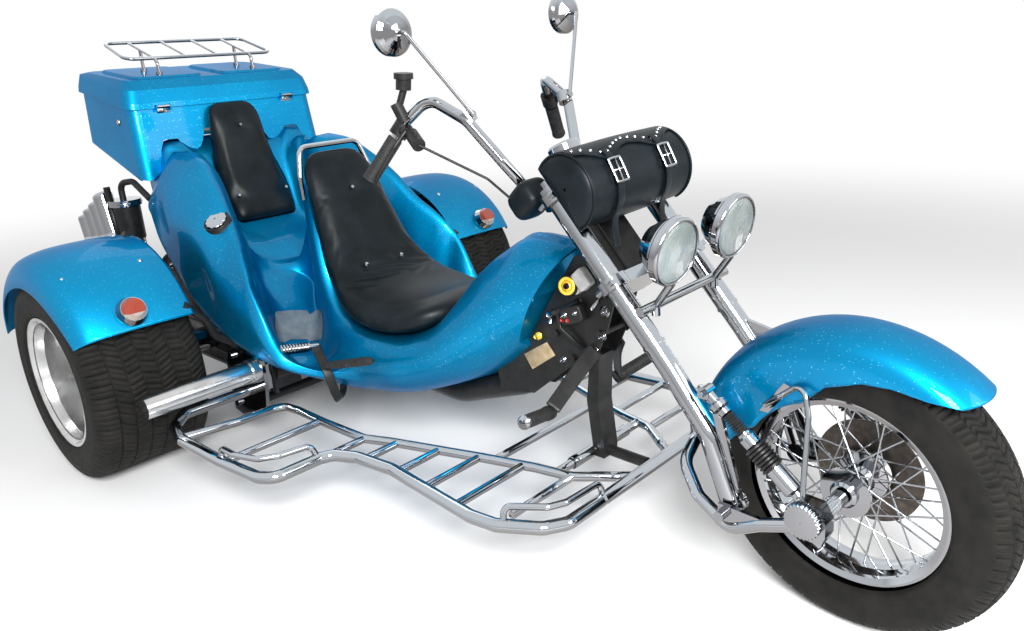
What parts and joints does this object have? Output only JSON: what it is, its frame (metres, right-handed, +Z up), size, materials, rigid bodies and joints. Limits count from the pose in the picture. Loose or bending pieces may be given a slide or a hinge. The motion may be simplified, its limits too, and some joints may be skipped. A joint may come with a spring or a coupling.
{
  "type": "motorized trike",
  "caption": "Long-fork motor trike: blue flake body, tandem bucket seats, lidded trunk, chrome boards and bars, wide rear tyres, raked wire-spoke front wheel.",
  "frame": {"origin": "on the ground under the middle of the bounding box", "axes": "+X forward, +Y to the rider's left, +Z up"},
  "size_m": [3.1893, 1.757, 1.3787],
  "materials": {
    "flake_blue": "metallic gloss with fine flakes",
    "chrome": "polished",
    "polished": "polished",
    "frame_black": "semi gloss",
    "engine_metal": "oily cast metal",
    "tyre_rubber": "matte",
    "grip_rubber": "ribbed",
    "leather": "smooth grained",
    "amber": "clear",
    "lamp_glass": "ribbed clear"
  },
  "bodies": {
    "chassis": {"frame": "frame_black", "front_strap": "frame_black", "axle_ends": "chrome", "engine_block": "engine_metal", "air_canister": "frame_black", "canister_caps": "chrome", "silencers": "chrome", "board_right": "chrome", "board_left": "chrome", "board_cross": "chrome", "board_brackets": "chrome", "side_tubes": "polished", "rear_fender_right": "flake_blue", "rear_fender_left": "flake_blue", "fender_struts": "frame_black", "signal_pods": "chrome", "signal_lenses": "amber", "rear_seat": "leather", "front_seat": "leather", "seat_buttons": "chrome", "trunk_box": "flake_blue", "body_tub": "flake_blue", "grab_bar": "chrome", "passenger_pegs": "chrome", "passenger_peg_arms": "frame_black", "rider_pegs": "frame_black", "filler_ring": "frame_black", "filler_cap": "chrome"},
    "trunk_lid": {"trunk_lid": "flake_blue", "luggage_rack": "chrome", "lid_hinges": "chrome"},
    "fork": {"steering_stem": "chrome", "fork_clamps": "chrome", "fork_leg_right": "chrome", "fork_leg_left": "chrome", "link_arms": "chrome", "front_axle": "chrome", "shock_bodies": "chrome", "shock_springs": "frame_black", "front_fender": "flake_blue", "fender_stays": "chrome", "handlebar": "chrome", "grips": "grip_rubber", "hand_controls": "frame_black", "control_cable": "frame_black", "mirrors": "chrome", "instrument": "chrome", "roll_bag": "leather", "light_bar": "chrome", "headlamp_shells": "chrome", "headlamp_lenses": "lamp_glass"},
    "front_wheel": {"front_tyre": "tyre_rubber", "front_rim": "chrome", "front_hub": "chrome", "front_spokes": "chrome"},
    "rear_wheel_right": {"rear_tyre_right": "tyre_rubber", "rear_rim_right": "polished"},
    "rear_wheel_left": {"rear_tyre_left": "tyre_rubber", "rear_rim_left": "polished"}
  },
  "joints": [
    {"name": "lid_hinge", "type": "hinge", "parent": "chassis", "child": "trunk_lid", "pos_m": [-1.165, 0, 1.093], "axis": [0, 1, 0], "range_deg": [0, 70]},
    {"name": "steering", "type": "hinge", "parent": "chassis", "child": "fork", "pos_m": [0.504, 0, 0.9], "axis": [-0.6646, 0, 0.7472], "range_deg": [-28, 38]},
    {"name": "front_wheel_spin", "type": "hinge", "parent": "fork", "child": "front_wheel", "pos_m": [1.26248, -0.01626, 0.33254], "axis": [0.0638, 0.9963, 0.0568], "continuous": true},
    {"name": "rear_wheel_right_spin", "type": "hinge", "parent": "chassis", "child": "rear_wheel_right", "pos_m": [-0.881, -0.6975, 0.324], "axis": [0, 1, 0], "continuous": true},
    {"name": "rear_wheel_left_spin", "type": "hinge", "parent": "chassis", "child": "rear_wheel_left", "pos_m": [-0.881, 0.6975, 0.324], "axis": [0, 1, 0], "continuous": true}
  ]
}
